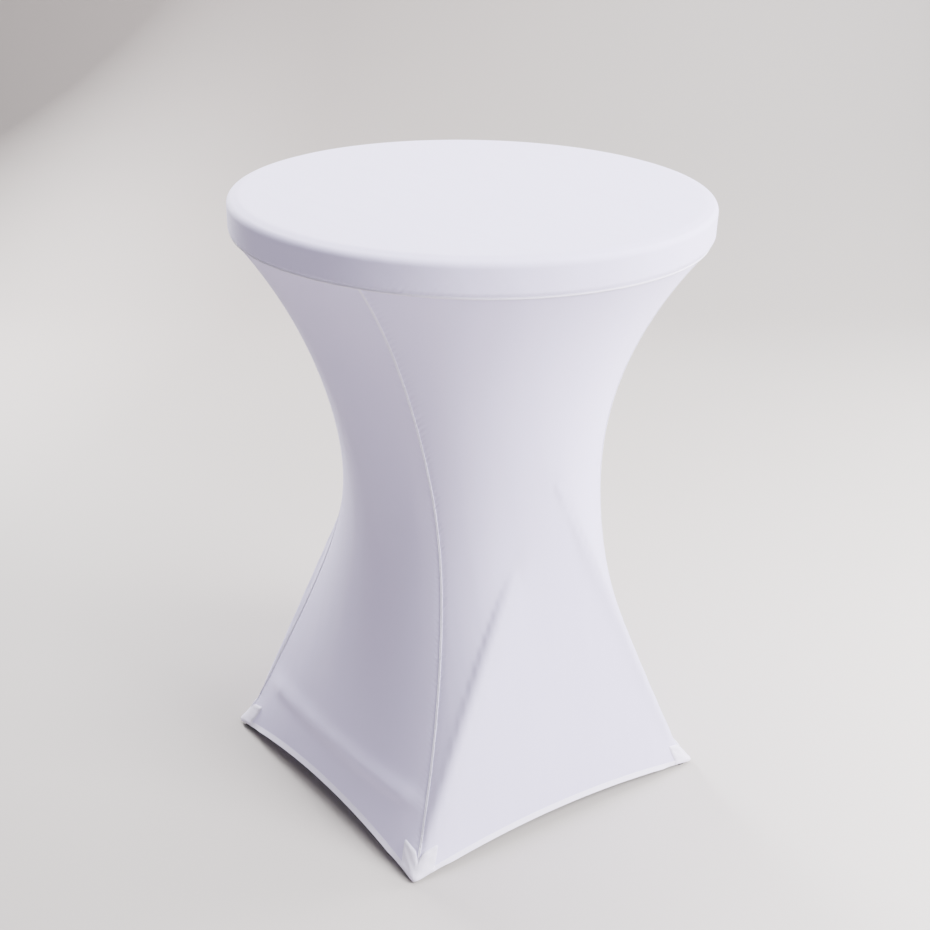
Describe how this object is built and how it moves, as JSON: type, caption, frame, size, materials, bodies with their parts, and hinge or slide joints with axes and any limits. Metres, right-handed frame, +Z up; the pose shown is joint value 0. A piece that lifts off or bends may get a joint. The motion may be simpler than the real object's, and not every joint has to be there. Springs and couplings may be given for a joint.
{
  "type": "table with stretch cover",
  "caption": "Round high folding table dressed in a fitted white stretch cloth that draws in at the waist and hooks over its feet.",
  "frame": {"origin": "on the floor under the middle of the tabletop", "axes": "+Z up; the feet stand on a rectangle along X and Y, with the inner frame's low crossbar at -X"},
  "size_m": [0.8026, 0.8026, 1.1],
  "materials": {
    "stretch_cloth": "matt fine knit",
    "seam_thread": "matt thread",
    "moulded_plastic": "moulded",
    "powder_coated_tube": "powder coat",
    "zinc_steel": "zinc plated",
    "foot_rubber": "moulded",
    "nylon": "moulded"
  },
  "bodies": {
    "table": {"clip_screw_back_a": "zinc_steel", "clip_screw_back_b": "zinc_steel", "clip_screw_front_a": "zinc_steel", "clip_screw_front_b": "zinc_steel", "hinge_screw_back_a": "zinc_steel", "hinge_screw_back_b": "zinc_steel", "hinge_screw_front_a": "zinc_steel", "hinge_screw_front_b": "zinc_steel", "hinge_strap_back": "zinc_steel", "hinge_strap_front": "zinc_steel", "snap_clip_back": "zinc_steel", "snap_clip_front": "zinc_steel", "tabletop": "moulded_plastic", "underside_panel": "moulded_plastic"},
    "inner_frame": {"inner_crossbar": "powder_coated_tube", "inner_foot_cap_back": "foot_rubber", "inner_foot_cap_front": "foot_rubber", "inner_tube": "powder_coated_tube", "pivot_bolt_back": "zinc_steel", "pivot_bolt_front": "zinc_steel", "pivot_nut_back": "zinc_steel", "pivot_nut_front": "zinc_steel", "pivot_washer_back": "nylon", "pivot_washer_front": "nylon"},
    "outer_frame": {"outer_crossbar": "powder_coated_tube", "outer_foot_cap_back": "foot_rubber", "outer_foot_cap_front": "foot_rubber", "outer_tube": "powder_coated_tube"},
    "cover": {"corner_seam_back_left": "seam_thread", "corner_seam_back_right": "seam_thread", "corner_seam_front_left": "seam_thread", "corner_seam_front_right": "seam_thread", "foot_pocket_back_left": "stretch_cloth", "foot_pocket_back_right": "stretch_cloth", "foot_pocket_front_left": "stretch_cloth", "foot_pocket_front_right": "stretch_cloth", "hem_back": "stretch_cloth", "hem_front": "stretch_cloth", "hem_left": "stretch_cloth", "hem_right": "stretch_cloth", "rim_seam": "seam_thread", "skirt_back": "stretch_cloth", "skirt_front": "stretch_cloth", "skirt_left": "stretch_cloth", "skirt_right": "stretch_cloth", "top_panel": "stretch_cloth"}
  },
  "joints": [
    {"name": "leg_fold", "type": "hinge", "parent": "table", "child": "inner_frame", "pos_m": [0.172, 0, 1.0322], "axis": [0, -1, 0], "range_deg": [0, 17], "deforming": ["corner_seam_back_left", "corner_seam_back_right", "corner_seam_front_left", "corner_seam_front_right", "foot_pocket_back_left", "foot_pocket_back_right", "foot_pocket_front_left", "foot_pocket_front_right", "hem_back", "hem_front", "hem_left", "hem_right", "skirt_back", "skirt_front", "skirt_left", "skirt_right"]},
    {"name": "scissor_pivot", "type": "hinge", "parent": "inner_frame", "child": "outer_frame", "pos_m": [0, 0, 0.66], "axis": [0, -1, 0], "range_deg": [-34, 0]},
    {"name": "cover_lift", "type": "slide", "parent": "table", "child": "cover", "axis": [0, 0, 1], "range_m": [0, 1.12], "deforming": ["corner_seam_back_left", "corner_seam_back_right", "corner_seam_front_left", "corner_seam_front_right", "foot_pocket_back_left", "foot_pocket_back_right", "foot_pocket_front_left", "foot_pocket_front_right", "hem_back", "hem_front", "hem_left", "hem_right", "rim_seam", "skirt_back", "skirt_front", "skirt_left", "skirt_right", "top_panel"]}
  ],
  "couplings": [
    {"joint": "scissor_pivot", "follows": "leg_fold", "ratio": -2}
  ]
}
